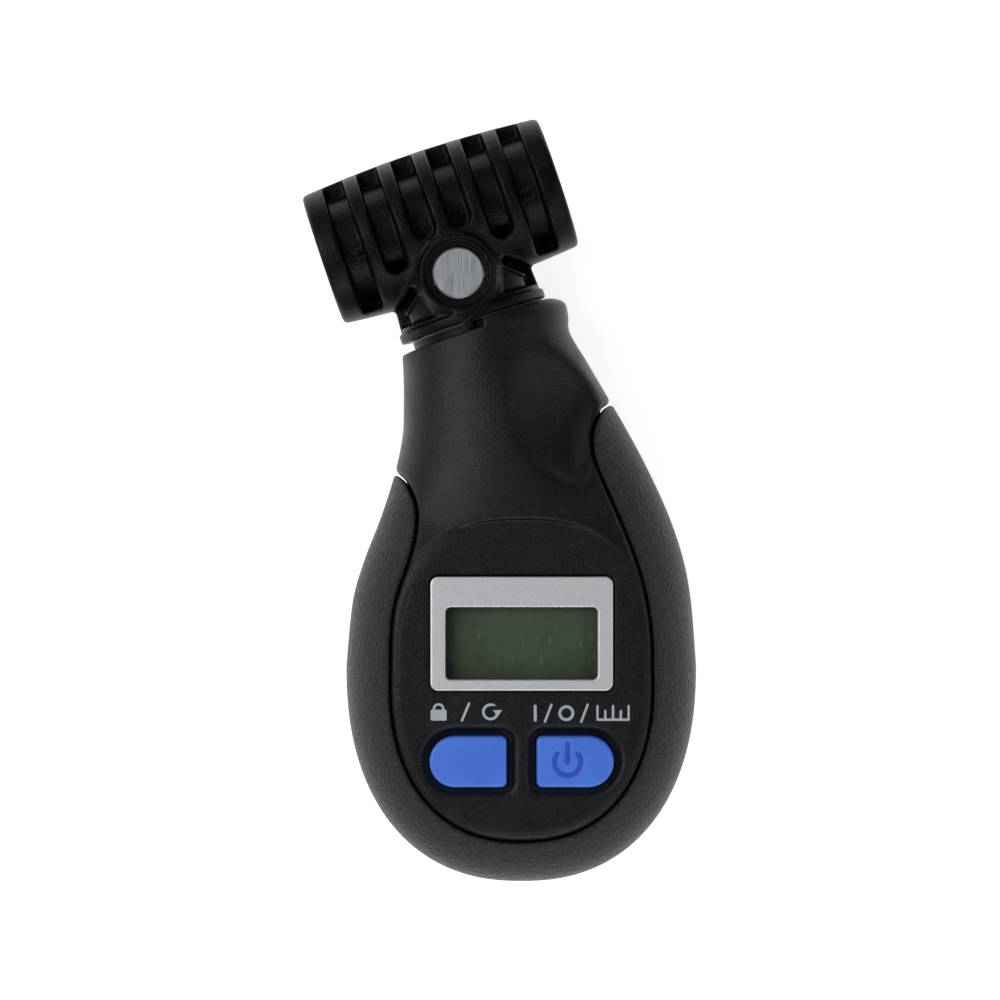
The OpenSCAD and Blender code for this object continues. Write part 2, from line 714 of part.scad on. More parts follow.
// Slides to close whichever mouth has no valve in it. The tips push the valve cores open
module shuttle() {
    color([0.85, 0.83, 0.78]) on_barrel() difference() {
        union() {
            cylinder(r = shuttle_r, h = 8.4, center = true);
            cylinder(r = 1.1, h = 24, center = true);
        }
        for (z = [-3, 2]) translate([0, 0, z]) tube(6, 1.85, 1);
        translate([0, 0, -0.8]) tube(6, 1.7, 1.6);
    }
}

module shuttle_orings() {
    color([0.1, 0.1, 0.1]) on_barrel() for (z = [-2.5, 2.5]) translate([0, 0, z]) torus(2.22, 0.34);
}

front_housing();
rear_housing();
grip_sleeve();
display_bezel();
display_window();
lcd_panel();
display_frame();
zebra_strips();
circuit_board();
controller_chip();
board_screws();
tact_switches();
pressure_sensor();
sensor_manifold();
manifold_seal();
air_tube();
swivel_socket();
stem_retainer();
battery_tray();
battery_cell();
contact_plus();
contact_minus();
housing_screws();
hold_button();
power_button();
battery_cover();
cover_seal();
head_shell();
head_pin();
pin_orings();
port_seal();
swivel_stem();
stem_orings();
swivel_washer();
wide_seal();
narrow_seal();
wide_ring();
narrow_ring();
shuttle();
shuttle_orings();
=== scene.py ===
"""The looks of a digital tyre pressure gauge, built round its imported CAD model.

The moulded pieces are made as distance fields on a grid, so that every edge gets its real
rounding, and are then turned into meshes. Lengths in this script are millimetres until a mesh
is made. Distances are negative inside a solid.
"""
import json
import math

import bpy
import numpy as np
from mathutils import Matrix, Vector


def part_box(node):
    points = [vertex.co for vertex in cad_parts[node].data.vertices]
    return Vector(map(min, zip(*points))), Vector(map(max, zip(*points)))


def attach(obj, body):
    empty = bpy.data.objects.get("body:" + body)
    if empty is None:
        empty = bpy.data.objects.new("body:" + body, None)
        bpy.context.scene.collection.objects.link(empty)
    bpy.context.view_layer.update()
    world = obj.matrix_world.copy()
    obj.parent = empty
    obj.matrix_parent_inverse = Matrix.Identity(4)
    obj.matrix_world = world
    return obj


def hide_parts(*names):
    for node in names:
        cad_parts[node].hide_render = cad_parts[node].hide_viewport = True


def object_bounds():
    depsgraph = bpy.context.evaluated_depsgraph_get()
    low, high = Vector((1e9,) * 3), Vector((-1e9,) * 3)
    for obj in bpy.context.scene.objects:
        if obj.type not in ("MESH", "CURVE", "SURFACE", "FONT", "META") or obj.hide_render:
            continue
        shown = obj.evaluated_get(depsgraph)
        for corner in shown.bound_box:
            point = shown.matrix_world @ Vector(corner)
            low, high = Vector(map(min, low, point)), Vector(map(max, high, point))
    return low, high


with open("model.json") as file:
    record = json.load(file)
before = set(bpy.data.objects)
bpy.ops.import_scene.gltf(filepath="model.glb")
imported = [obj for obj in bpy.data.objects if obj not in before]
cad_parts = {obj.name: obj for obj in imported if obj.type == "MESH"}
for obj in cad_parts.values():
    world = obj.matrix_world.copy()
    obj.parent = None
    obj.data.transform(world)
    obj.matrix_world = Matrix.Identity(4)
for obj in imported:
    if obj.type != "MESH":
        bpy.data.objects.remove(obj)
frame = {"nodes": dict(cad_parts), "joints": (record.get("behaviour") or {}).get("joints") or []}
cad_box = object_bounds()

MM = 0.001
COARSE = 1.0


# ---------------------------------------------------------------- places from the frame

def span(node):
    """Lowest and highest corner of a CAD node, in millimetres."""
    low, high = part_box(node)
    return np.array(low) / MM, np.array(high) / MM


def joint(name):
    """The frame's joint of that name."""
    return next(j for j in frame["joints"] if j["name"] == name)


swivel = joint("head_swivel")
PIN = np.array(swivel["pos_m"]) / MM
NECK_UP = np.array(swivel["axis"]) / np.linalg.norm(swivel["axis"])
BARREL = np.array([NECK_UP[1], -NECK_UP[0], 0.0])
MID_Z = PIN[2]
BEZEL = span("display_bezel")
WINDOW = span("display_window")
CAPS = {"hold_button": span("hold_button"), "power_button": span("power_button")}
COVER = span("battery_cover")

# Driving sizes that the frame's boxes don't give
FACE_Z = 28.5                                    # height of the level face
RIM_V, LOW_RIM_V, FOOT_V = -7.75, -9.0, -7.4     # neck's rim, its lower half, and the head's foot
BARREL_V = 9.2                                   # from the pin to the barrel's axis
GRIP_T, GRIP_GAP, WALL = 2.2, 0.3, 2.2           # sleeve, gap at its edge, wall of the housing
BULB_HALF, BULB_DROP, BULB_Y = 27.5, 33.9, 4.0   # round end of the body, below its widest place
BULB_POWER = 2.3
FRONT_H, BACK_H = 17.5, 16.8                     # depth in front of and behind the middle plane
OVAL_HALF, OVAL_LONG, OVAL_Y = 20.2, 24.6, 1.9   # oval of the face
BUTTON_Y, BUTTON_W, BUTTON_H, BUTTON_IN = -10.4, 11.9, 7.9, 2.3
SCREW_SPOTS = [(-12.3, -14.6), (12.3, -14.6), (-13, 34), (8.5, 37.5)]
INSIDE_Z = (2.4, 26.3)                           # floor and roof of the hollow in the housings
FLANGE_Z = (24.7, 26.3)                          # room for the buttons' flanges

# The head, along the barrel (u), along the neck (v) and towards the front
LONG_HALF = 19.5          # half the barrel's length
BARREL_R = 11.5           # its radius in the middle
GROOVE_PITCH, GROOVE_W = 5.75, 3.4
WEB_HALF = 0.8            # half the thickness of the web between the front and back grooves
BOSS_R, RECESS_R, PIN_HOLE_R = 6.1, 5.3, 4.08
MOUTH_R, VALVE_R = 7.05, 2.6

# Materials
PATCH_MM = 7.0            # size of the slow changes of tone
TRIANGLES = 190000        # most for one piece

# Sections of the body down the neck: left point, right point, height, depth, roundness
SECTIONS = np.array([
    [-18.7, 54.0, 4.7, 61.8, 11.9, 11.9, 2.0],
    [-18.7, 52.5, 6.8, 61.0, 12.0, 12.0, 2.0],
    [-18.6, 50.6, 7.4, 59.0, 12.1, 12.1, 2.0],
    [-18.5, 48.0, 7.7, 56.2, 12.3, 12.3, 2.05],
    [-18.5, 44.5, 10.4, 51.6, 12.6, 12.7, 2.1],
    [-18.6, 40.8, 13.4, 46.5, 13.0, 13.4, 2.15],
    [-19.2, 37.0, 16.6, 41.0, 13.4, 14.4, 2.2],
    [-20.4, 32.3, 20.0, 34.6, 13.8, 15.3, 2.3],
    [-22.3, 26.6, 23.3, 27.3, 14.1, 15.9, 2.4],
    [-24.7, 20.4, 25.5, 20.6, 15.8, 16.3, 2.5],
    [-26.5, 14.0, 26.7, 14.0, 17.1, 16.6, 2.5],
    [-27.5, 4.0, 27.5, 4.0, 17.5, 16.8, 2.5],
])
# The sleeve's edge beside the neck, as points of a curve on each side
LEFT_EDGE = [(-26, 37.5), (-19.6, 34.2), (-17.4, 32), (-16.2, 29), (-16.1, 26), (-16.6, 22.8),
             (-17.6, 19.4), (-18.8, 16), (-19.7, 12.5), (-20.1, 8)]
RIGHT_EDGE = [(20.1, 8), (19.6, 12.5), (18.8, 16.5), (17.6, 20.6), (16.1, 24.6), (14.5, 28.4),
              (12.9, 32), (11.5, 35.4), (10.9, 38.2), (11.1, 41), (12.2, 43.6), (14, 45.2),
              (24, 50.5)]


# ---------------------------------------------------------------- distance fields

BLEND = 1.7     # width of a blend for a rounding of 1
TINY = 1e-12


def join(a, b, r):
    """Union, with a fillet of about r where the two meet."""
    k = BLEND * r
    return np.minimum(a, b) - np.maximum(k - np.abs(a - b), 0) ** 2 / (4 * k)


def both(a, b, r=0.0):
    """Intersection, with its edges rounded by about r."""
    if r <= 0:
        return np.maximum(a, b)
    k = BLEND * r
    return np.maximum(a, b) + np.maximum(k - np.abs(a - b), 0) ** 2 / (4 * k)


def cut(a, b, r=0.0):
    """a with b taken away."""
    return both(a, -b, r)


def ball(x, y, z=0.0):
    """Distance from the origin, or from an axis when z is left out."""
    return np.sqrt(x * x + y * y + z * z)


def rounded_box(x, y, half_w, half_h, r):
    """Signed distance in the plane to a rectangle with rounded corners."""
    qx, qy = np.abs(x) - half_w + r, np.abs(y) - half_h + r
    return ball(np.maximum(qx, 0), np.maximum(qy, 0)) + np.minimum(np.maximum(qx, qy), 0) - r


def band(z, low, high):
    """Distance to the slab between two heights."""
    return np.maximum(low - z, z - high)


def polygon_field(x, y, points):
    """Signed distance in the plane to a closed outline."""
    pts = np.array(points, float)
    best = np.full(np.broadcast(x, y).shape, 1e9)
    inside = np.zeros(best.shape, bool)
    for (ax, ay), (bx, by) in zip(pts, np.roll(pts, -1, 0)):
        ex, ey = bx - ax, by - ay
        t = np.clip(((x - ax) * ex + (y - ay) * ey) / max(ex * ex + ey * ey, TINY), 0, 1)
        best = np.minimum(best, (x - ax - t * ex) ** 2 + (y - ay - t * ey) ** 2)
        crosses = (ay > y) != (by > y)
        inside ^= crosses & (x < ax + (y - ay) * ex / (ey if abs(ey) > TINY else TINY))
    return np.where(inside, -1, 1) * np.sqrt(best)


def spline(rows, steps):
    """Points along a Catmull-Rom curve through rows."""
    rows = np.array(rows, float)
    n, out = len(rows), []
    for k in range(n - 1):
        a, b = rows[max(k - 1, 0)], rows[k]
        c, d = rows[k + 1], rows[min(k + 2, n - 1)]
        for i in range(steps):
            t = i / steps
            out.append(0.5 * (2 * b + (c - a) * t + (2 * a - 5 * b + 4 * c - d) * t * t
                              + (3 * b - a - 3 * c + d) * t ** 3))
    out.append(rows[-1])
    return np.array(out)


def oval_field(x, y, grow=0.0):
    """Distance in the plane to the oval of the face."""
    up = y > OVAL_Y
    p = np.where(up, 2.6, BULB_POWER)
    a, b = OVAL_HALF + grow, OVAL_LONG + grow
    gx, gy = np.abs(x / a), np.abs((y - OVAL_Y) / b)
    g = (gx ** p + gy ** p + 1e-9) ** (1 / p)
    slope = g ** (1 - p) * np.sqrt((gx ** (p - 1) / a) ** 2 + (gy ** (p - 1) / b) ** 2)
    return (g - 1) / np.maximum(slope, 0.01)


def inner_plan():
    """Outline of everything inside the sleeve's edge: the oval below, the neck above."""
    oval = []
    for i in range(1, 36):
        a = math.pi + i * math.pi / 36
        c, s = abs(math.cos(a)), abs(math.sin(a))
        k = (c ** BULB_POWER + s ** BULB_POWER) ** (-1 / BULB_POWER)
        oval.append((OVAL_HALF * k * math.cos(a), OVAL_Y + OVAL_LONG * k * math.sin(a)))
    return np.vstack([spline(LEFT_EDGE, 5), oval, spline(RIGHT_EDGE, 5), [(24, 75), (-30, 75)]])


def cap_field(x, y, side, grow=0.0):
    """Plan of a button cap: round at its outer end."""
    r, corner_r = BUTTON_H / 2, 0.9
    far, yy, xx = BUTTON_IN + BUTTON_W, y - BUTTON_Y, side * x
    middle = (BUTTON_IN + far) / 2
    end = ball(np.maximum(xx - far + r, 0), yy) - r
    flat = rounded_box(xx - middle, yy, BUTTON_W / 2, r, corner_r)
    return np.where(xx > middle, np.maximum(end, flat - 9), flat) - grow


class Grid:
    """A box of sample points. x, y and z broadcast against each other."""

    def __init__(self, low, high, step):
        self.step = step * COARSE
        self.low = np.array(low, float) - 2 * self.step
        n = np.ceil((np.array(high) - self.low) / self.step).astype(int) + 3
        axes = [(self.low[i] + self.step * np.arange(n[i])).astype(np.float32) for i in range(3)]
        self.x = axes[0][:, None, None]
        self.y = axes[1][None, :, None]
        self.z = axes[2][None, None, :]


def net(field, grid):
    """The surface where a field is zero, as corners and four-sided faces."""
    f = np.ascontiguousarray(field, np.float32)
    inside = f < 0
    corners = [(i, j, k) for i in (0, 1) for j in (0, 1) for k in (0, 1)]
    nx, ny, nz = f.shape
    count = np.zeros((nx - 1, ny - 1, nz - 1), np.uint8)
    for i, j, k in corners:
        count += inside[i:nx - 1 + i, j:ny - 1 + j, k:nz - 1 + k]
    cells = np.argwhere((count > 0) & (count < 8))
    number = np.full(count.shape, -1, np.int32)
    number[tuple(cells.T)] = np.arange(len(cells))
    value = [f[cells[:, 0] + i, cells[:, 1] + j, cells[:, 2] + k] for i, j, k in corners]
    total, hits = np.zeros((len(cells), 3)), np.zeros(len(cells))
    for a in range(8):
        for axis in range(3):
            b = a | (4 >> axis)
            if b == a:
                continue
            crossed = (value[a] < 0) != (value[b] < 0)
            t = np.where(crossed, value[a] / np.where(crossed, value[a] - value[b], 1), 0)
            point = np.array(corners[a], float)[None, :] + t[:, None] * np.eye(3)[axis]
            total += np.where(crossed[:, None], point, 0)
            hits += crossed
    corner = (cells + total / hits[:, None]) * grid.step
    corner = settle(corner, f, grid.step)
    faces = []
    for axis in range(3):
        u, v = (axis + 1) % 3, (axis + 2) % 3
        sl = [slice(None)] * 3
        sl[axis] = slice(0, -1)
        near = inside[tuple(sl)]
        sl[axis] = slice(1, None)
        far = inside[tuple(sl)]
        edge = np.argwhere(near != far)
        edge = edge[(edge[:, u] > 0) & (edge[:, v] > 0) & (edge[:, u] < f.shape[u] - 1)
                    & (edge[:, v] < f.shape[v] - 1)]
        quad = []
        for du, dv in ((-1, -1), (0, -1), (0, 0), (-1, 0)):
            at = edge.copy()
            at[:, u] += du
            at[:, v] += dv
            quad.append(number[tuple(at.T)])
        quad = np.stack(quad, 1)
        outward = near[tuple(edge.T)]
        faces.append(np.where(outward[:, None], quad, quad[:, ::-1]))
    return corner + grid.low, np.vstack(faces)


def settle(corner, f, step):
    """Moves corners onto the surface in three steps, along the field's slope."""
    for _ in range(3):
        base = np.clip(np.floor(corner / step).astype(int), 0, np.array(f.shape) - 2)
        part = corner / step - base
        value = {(i, j, k): f[base[:, 0] + i, base[:, 1] + j, base[:, 2] + k]
                 for i in (0, 1) for j in (0, 1) for k in (0, 1)}
        weight = [np.stack([1 - part[:, a], part[:, a]]) for a in range(3)]
        here, slope = 0.0, np.zeros(corner.shape)
        for (i, j, k), v in value.items():
            here = here + v * weight[0][i] * weight[1][j] * weight[2][k]
            slope[:, 0] += (2 * i - 1) * v * weight[1][j] * weight[2][k]
            slope[:, 1] += (2 * j - 1) * v * weight[0][i] * weight[2][k]
            slope[:, 2] += (2 * k - 1) * v * weight[0][i] * weight[1][j]
        slope /= step
        move = -here[:, None] * slope / np.maximum((slope ** 2).sum(1), 0.05)[:, None]
        corner = corner + np.clip(move, -0.3 * step, 0.3 * step)
    return corner


def mesh_piece(name, corner, faces, material, body, slot, most):
    """A shown piece from corners in millimetres and four-sided faces, smooth shaded."""
    mesh = bpy.data.meshes.new(name)
    mesh.vertices.add(len(corner))
    mesh.vertices.foreach_set("co", (np.asarray(corner) * MM).ravel())
    mesh.loops.add(faces.size)
    mesh.loops.foreach_set("vertex_index", faces.ravel().astype(np.int32))
    mesh.polygons.add(len(faces))
    mesh.polygons.foreach_set("loop_start", np.arange(0, faces.size, 4, dtype=np.int32))
    mesh.polygons.foreach_set("loop_total", np.full(len(faces), 4, np.int32))
    mesh.update(calc_edges=True)
    mesh.validate()
    piece = bpy.data.objects.new(name, mesh)
    bpy.context.scene.collection.objects.link(piece)
    triangles = 2 * len(faces)
    if triangles > most:
        thin = piece.modifiers.new("thin", "DECIMATE")
        thin.ratio = most / triangles
        apply_modifiers(piece)
        mesh = piece.data
    mesh.polygons.foreach_set("use_smooth", np.ones(len(mesh.polygons), bool))
    mesh.materials.append(material)
    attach(piece, body)
    return piece


def apply_modifiers(piece):
    """Replaces the piece's mesh with what its modifiers make of it."""
    graph = bpy.context.evaluated_depsgraph_get()
    made = bpy.data.meshes.new_from_object(piece.evaluated_get(graph))
    made.name = piece.name
    piece.modifiers.clear()
    piece.data = made


def head_place(corner):
    """From the head's frame (along the barrel, along the neck, to the front) to the row's."""
    out = corner[:, :1] * BARREL + corner[:, 1:2] * NECK_UP
    return PIN + out + corner[:, 2:3] * np.array([0.0, 0.0, 1.0])


def head_coordinates(x, y):
    """Along the barrel and along the neck, from the pin."""
    dx, dy = x - PIN[0], y - PIN[1]
    return dx * BARREL[0] + dy * BARREL[1], dx * NECK_UP[0] + dy * NECK_UP[1]


# ---------------------------------------------------------------- the body's form

def body_field(grid):
    """Distance to the body's outer form, before anything is cut."""
    x, y, z = grid.x, grid.y, grid.z
    px, py = np.broadcast_arrays(x[:, :, 0], y[:, :, 0])
    rows = spline(SECTIONS, 24)
    places = np.arange(len(rows), dtype=float)
    centre = (rows[:, 0:2] + rows[:, 2:4]) / 2
    half = (rows[:, 2:4] - rows[:, 0:2]) / 2
    length = np.linalg.norm(half, axis=1)
    along = half / length[:, None]
    table = np.column_stack([centre, along, length, rows[:, 4:7]])

    def read(s):
        return [np.interp(s, places, table[:, c]) for c in range(table.shape[1])]

    low, high = np.zeros(px.shape), np.full(px.shape, places[-1])
    # where along the neck each point lies, by halving
    for _ in range(16):
        s = (low + high) / 2
        cx, cy, ex, ey = read(s)[:4]
        above = (py - cy) * ex - (px - cx) * ey > 0
        low, high = np.where(above, low, s), np.where(above, s, high)
    cx, cy, ex, ey, size, front, back, power = read((low + high) / 2)
    t = np.abs((px - cx) * ex + (py - cy) * ey) / size

    drop = np.clip((BULB_Y - py) / BULB_DROP, 0, None)
    end = py < BULB_Y
    bulb = (np.abs(px) / BULB_HALF) ** BULB_POWER + drop ** BULB_POWER
    t = np.where(end, bulb ** (1 / BULB_POWER), t)
    power = np.where(end, 2.5 + 0.3 * np.minimum(drop, 1.2) ** 2, power)
    front = np.where(end, FRONT_H, front)
    back = np.where(end, BACK_H, back)

    n = power[:, :, None].astype(np.float32)
    t = t[:, :, None].astype(np.float32)
    rise = np.where(z > MID_Z, (z - MID_Z) / front[:, :, None], (MID_Z - z) / back[:, :, None])
    rise = rise.astype(np.float32)
    g = (t ** n + rise ** n + TINY) ** (1 / n) - 1
    gx, gy, gz = np.gradient(g, grid.step)
    return g / np.maximum(np.sqrt(gx * gx + gy * gy + gz * gz), 0.02)


def thumb_scoop(x, y, z, front, plan):
    """The hollow for a thumb in the right side of the neck. It fades out near the sleeve.

    It is a leaning ellipsoid. The rear one is shallower, for more wall round the neck's screw.
    """
    lean = math.radians(27)
    half_across, half_along, half_deep = 23.0, 18.5, 7.0
    height = 15.0 if front else 17.2
    dx, dy, dz = x - 8.2, y - 50.0, (1 if front else -1) * (z - MID_Z) - height
    across = dx * math.cos(lean) - dz * math.sin(lean)
    deep = dx * math.sin(lean) + dz * math.cos(lean)
    g = np.sqrt((across / half_across) ** 2 + (dy / half_along) ** 2 + (deep / half_deep) ** 2)
    return (g - 1) * half_deep + 0.06 * np.clip(5 + plan, 0, 6) ** 2


def neck_top(field, u, v, z):
    """Cuts the neck's rim, its lower half and the seat of the swivel socket."""
    field = both(field, v - RIM_V, 0.35)
    front_step, back_step = 1.2, 2.6
    lower = np.where(z > MID_Z, u - front_step, u - back_step)
    field = cut(field, both(lower, LOW_RIM_V - v, 0.1), 0.15)
    seat_r, seat_v, well_r, well_v = 10.3, -10.7, 8.1, -24
    r = ball(u, z - MID_Z)
    field = cut(field, both(r - seat_r, seat_v - v), 0.15)
    return cut(field, np.maximum(r - well_r, np.maximum(well_v - v, v + 4)))


def housing(grid, front):
    """Full size inside the sleeve's edge, thinner under the sleeve, and hollow."""
    x, y, z = grid.x, grid.y, grid.z
    form = body_field(grid)
    plan = polygon_field(x, y, inner_plan())
    u, v = head_coordinates(x, y)
    shell = join(both(form, plan, 0.55), form + GRIP_T + 0.1, 0.2)
    shell = neck_top(shell, u, v, z)
    hollow = both(form + GRIP_T + WALL + 0.1, y - 50, 0.5)
    hollow = both(hollow, band(z, *INSIDE_Z), 0.5)
    shell = cut(shell, thumb_scoop(x, y, z, front, plan), 0.5)
    return shell, hollow, form


def front_housing():
    """The half with the face, the bezel's seat and the caps' openings."""
    low, high = span("front_housing")
    grid = Grid(low, high + [0, 0, 0.6], 0.23)
    x, y, z = grid.x, grid.y, grid.z
    shell, hollow, _ = housing(grid, True)
    # the face inside its oval is level, and bends down a little at its top
    rim = oval_field(x, y)
    face = FACE_Z - np.maximum(y - 19, 0) ** 2 / 110
    shell = cut(shell, both(face - z, rim - 0.4, 0.3), 0.5)
    # a faint line just inside the rim, round the lower part of the oval
    line = both(np.abs(rim + 0.95) - 0.1, np.maximum(face - 0.12 - z, y - 16), 0.08)
    shell = cut(shell, line, 0.08)
    # the bezel's seat, opening for the display, and a dish and an opening for each cap
    bezel, half = (BEZEL[0] + BEZEL[1]) / 2, (BEZEL[1] - BEZEL[0]) / 2
    seat = rounded_box(x - bezel[0], y - bezel[1], half[0] + 0.2, half[1] + 0.2, 1.35)
    shell = cut(shell, np.maximum(seat, BEZEL[0][2] - 0.05 - z), 0.12)
    window = (WINDOW[0] + WINDOW[1]) / 2
    opening = rounded_box(x - window[0], y - window[1], 12.2, 6, 1)
    under_face = 24 - z
    hollow = np.minimum(hollow, np.maximum(opening, under_face))
    dish_depth = 0.62
    for side in (-1, 1):
        dish = both(cap_field(x, y, side, 0.70), FACE_Z - dish_depth - z, 0.3)
        shell = cut(shell, dish, 0.9)
        hollow = np.minimum(hollow, np.maximum(cap_field(x, y, side, 0.18), under_face))
        hollow = np.minimum(hollow, np.maximum(cap_field(x, y, side, 1.3), band(z, *FLANGE_Z)))
    shell = cut(shell, hollow, 0.12)
    shell = np.maximum(shell, MID_Z - z)
    return net(shell, grid)


def rear_housing():
    """The half with the battery cover's hole and the posts of the screws."""
    low, high = span("rear_housing")
    grid = Grid(low, high, 0.25)
    x, y, z = grid.x, grid.y, grid.z
    shell, hollow, form = housing(grid, False)
    shell = both(shell, -z, 0.5)
    shell = cut(shell, hollow, 0.12)
    cover_hole_r, cover_hole_top = 13.25, 4
    middle = (COVER[0] + COVER[1]) / 2
    r = ball(x - middle[0], y - middle[1])
    shell = cut(shell, np.maximum(r - cover_hole_r, z - cover_hole_top), 0.3)
    post_r, screw_head_r, screw_head_top, screw_r = 3.4, 2.4, 5, 1.4
    for sx, sy in SCREW_SPOTS:
        r = ball(x - sx, y - sy)
        post = np.maximum(np.maximum(r - post_r, form + 1), z - MID_Z)
        shell = np.minimum(shell, post)
        shell = cut(shell, np.maximum(r - screw_head_r, z - screw_head_top), 0.3)
        shell = cut(shell, r - screw_r)
    shell = np.maximum(shell, z - MID_Z + 0.05)
    return net(shell, grid)


def grip_sleeve():
    """The rubber skin round the body, outside the inner plan."""
    low, high = span("grip_sleeve")
    grid = Grid(low, high, 0.27)
    x, y, z = grid.x, grid.y, grid.z
    form = body_field(grid)
    plan = polygon_field(x, y, inner_plan())
    sleeve = both(form, GRIP_GAP - plan, 0.4)
    sleeve = cut(sleeve, form + GRIP_T, 0.1)
    sleeve = both(sleeve, -z, 0.3)
    return net(sleeve, grid)


# ---------------------------------------------------------------- the head

def groove_field(u, v, at, low, width):
    """A groove between two ribs: open at the crown, round at its lower end."""
    r = width / 2
    return ball(u - at, np.minimum(v - low - r, 0)) - r


def head_outside(u, v, z):
    """The barrel, the neck under it and the collar at its foot."""
    rho, axis_r = ball(v - BARREL_V, z), ball(u, z)
    barrel = both(rho - (BARREL_R - (u / LONG_HALF) ** 2), np.abs(u) - LONG_HALF, 0.5)
    neck_r, collar_r, collar_h = 11.1, 11.9, 1.5
    neck = np.maximum(axis_r - (neck_r + np.clip(-v - 1, 0, 6) * 0.07),
                      band(v, FOOT_V + 0.6, BARREL_V))
    collar = both(axis_r - collar_r, band(v, FOOT_V, FOOT_V + collar_h), 0.15)
    return join(join(barrel, neck, 0.5), collar, 0.12)


def head_pockets(u, v, depth):
    """Plan of the grooves between the ribs and of the two pockets beside the boss."""
    wide = GROOVE_W + np.clip(depth - 8, 0, 4) * 0.1
    pockets = np.full(np.broadcast(u, v, depth).shape, 50.0, np.float32)
    for s in (-1, 1):
        for k, foot in ((0.5, 6.5), (1.5, 3.0)):
            pockets = np.minimum(pockets, groove_field(u, v, s * GROOVE_PITCH * k, foot, wide))
        # the outermost groove is as long as the barrel is high
        outer = rounded_box(u - s * GROOVE_PITCH * 2.5, v - 19.1, 1.75, 20.0, 0.6)
        pockets = np.minimum(pockets, outer + 0.05 - (wide - GROOVE_W) / 2)
        corner = [(5.9, -4.7), (7.1, -1.0), (7.5, 0.0), (13, -3.6), (13, -4.7)]
        corner = polygon_field(s * u, v, corner)
        pockets = np.minimum(pockets, corner - 0.35)
    return pockets


def head_core(u, v, z):
    """What shows at the bottom of the pockets: two tubes, a ledge and a thin rib."""
    rho, axis_r = ball(v - BARREL_V, z), ball(u, z)
    tube_r, core_r, ledge_r, rib_r = 8.3, 8.0, 10.4, 11.0
    tube = both(rho - tube_r, np.abs(u) - LONG_HALF + 0.6, 0.3)
    core = both(axis_r - core_r, band(v, FOOT_V + 0.4, BARREL_V), 0.2)
    ledge = polygon_field(np.abs(u), v, [(6.9, -0.8), (9.4, -3.0), (9.4, -5.6), (5.0, -5.6)])
    core = join(core, both(axis_r - ledge_r, ledge, 0.3), 0.3)
    rib = line_field(np.abs(u), v, 6.6, -0.7, 9.6, -3.2, 0.25)
    core = join(core, both(axis_r - rib_r, rib, 0.2), 0.3)
    return join(tube, core, 0.6)


def head_shell():
    """The ribbed head, in its own frame."""
    grid = Grid((-LONG_HALF, -8.9, -12.3), (LONG_HALF, 21, 12.3), 0.2)
    u, v, z = grid.x, grid.y, grid.z
    depth = np.abs(z)
    ring, rho = ball(u, v), ball(v - BARREL_V, z)

    shape = head_outside(u, v, z)
    pockets = head_pockets(u, v, depth)
    shape = cut(shape, both(pockets, WEB_HALF - depth, 0.4), 0.35)
    shape = join(shape, head_core(u, v, z), 0.3)

    # the boss round the pin, and the stop tab at the collar
    boss_top, recess_floor = 11.6, 10.6
    shape = join(shape, both(ring - BOSS_R, depth - boss_top, 0.35), 0.5)
    shape = cut(shape, both(ring - RECESS_R, recess_floor - depth, 0.15), 0.35)
    tab = np.maximum(band(v, FOOT_V - 1.35, FOOT_V + 1), band(z, 10.5, 11.6))
    shape = join(shape, both(np.abs(u + 1) - 0.65, tab, 0.15), 0.1)

    # the pin's hole, the slot for the stem, the two mouths and the way through
    shape = cut(shape, ring - PIN_HOLE_R, 0.1)
    slot = np.maximum(np.minimum(ring - 5.6, np.maximum(np.abs(u) - 5.6, v)), depth - 4)
    shape = cut(shape, slot)
    shape = cut(shape, both(rho - MOUTH_R, 7.6 - np.abs(u), 0.1), 0.45)
    shape = cut(shape, np.maximum(rho - VALVE_R, np.abs(u) - 10))

    # faint round marks of the ejector pins, in the outer grooves
    mark_r, mark_floor = 0.85, 8.02
    for s, at in ((-1, 7.7), (1, 8.1)):
        mark = ball(u - s * 13.9, v - at)
        shape = cut(shape, np.maximum(np.abs(mark - mark_r) - 0.1, mark_floor - z), 0.1)
    return net(shape, grid)


# ---------------------------------------------------------------- small pieces

def bezel_net():
    """The silver frame round the display."""
    low, high = BEZEL
    grid = Grid(low, high, 0.12)
    x, y, z = grid.x, grid.y, grid.z
    middle, half = (low + high) / 2, (high - low) / 2
    frame_field = both(rounded_box(x - middle[0], y - middle[1], half[0], half[1], 1.2),
                       band(z, low[2], high[2]), 0.18)
    window = (WINDOW[0] + WINDOW[1]) / 2
    # the opening's edge slopes down to the window
    slope = np.clip(z - WINDOW[1][2], 0, 1) * 0.2
    hole_half_w, hole_half_h, hole_r = 11.72, 5.56, 0.8
    hole = rounded_box(x - window[0], y - window[1], hole_half_w, hole_half_h, hole_r) - slope
    return net(cut(frame_field, hole, 0.08), grid)


def button_net(node, side):
    """A cap with a slightly sunken rim and a flange under the face. The right one has the mark."""
    low, high = CAPS[node]
    grid = Grid(low, high, 0.11)
    x, y, z = grid.x, grid.y, grid.z
    plan = cap_field(x, y, side)
    mid = side * (BUTTON_IN + BUTTON_W / 2)
    crown = 0.12 * (((x - mid) / 6) ** 2 + ((y - BUTTON_Y) / 4) ** 2)
    crown = np.minimum(crown, 0.3) * (z > low[2] + 2)
    cap = both(plan, band(z, low[2] + 0.5, high[2]) + crown, 0.32)
    flange_t, mark_depth = 0.85, 0.24
    flange = both(cap_field(x, y, side, 1), band(z, low[2], low[2] + flange_t), 0.15)
    cap = join(cap, flange, 0.2)
    if side > 0:
        cap = cut(cap, np.maximum(power_mark(x, y), high[2] - mark_depth - z), 0.1)
    return net(cap, grid)


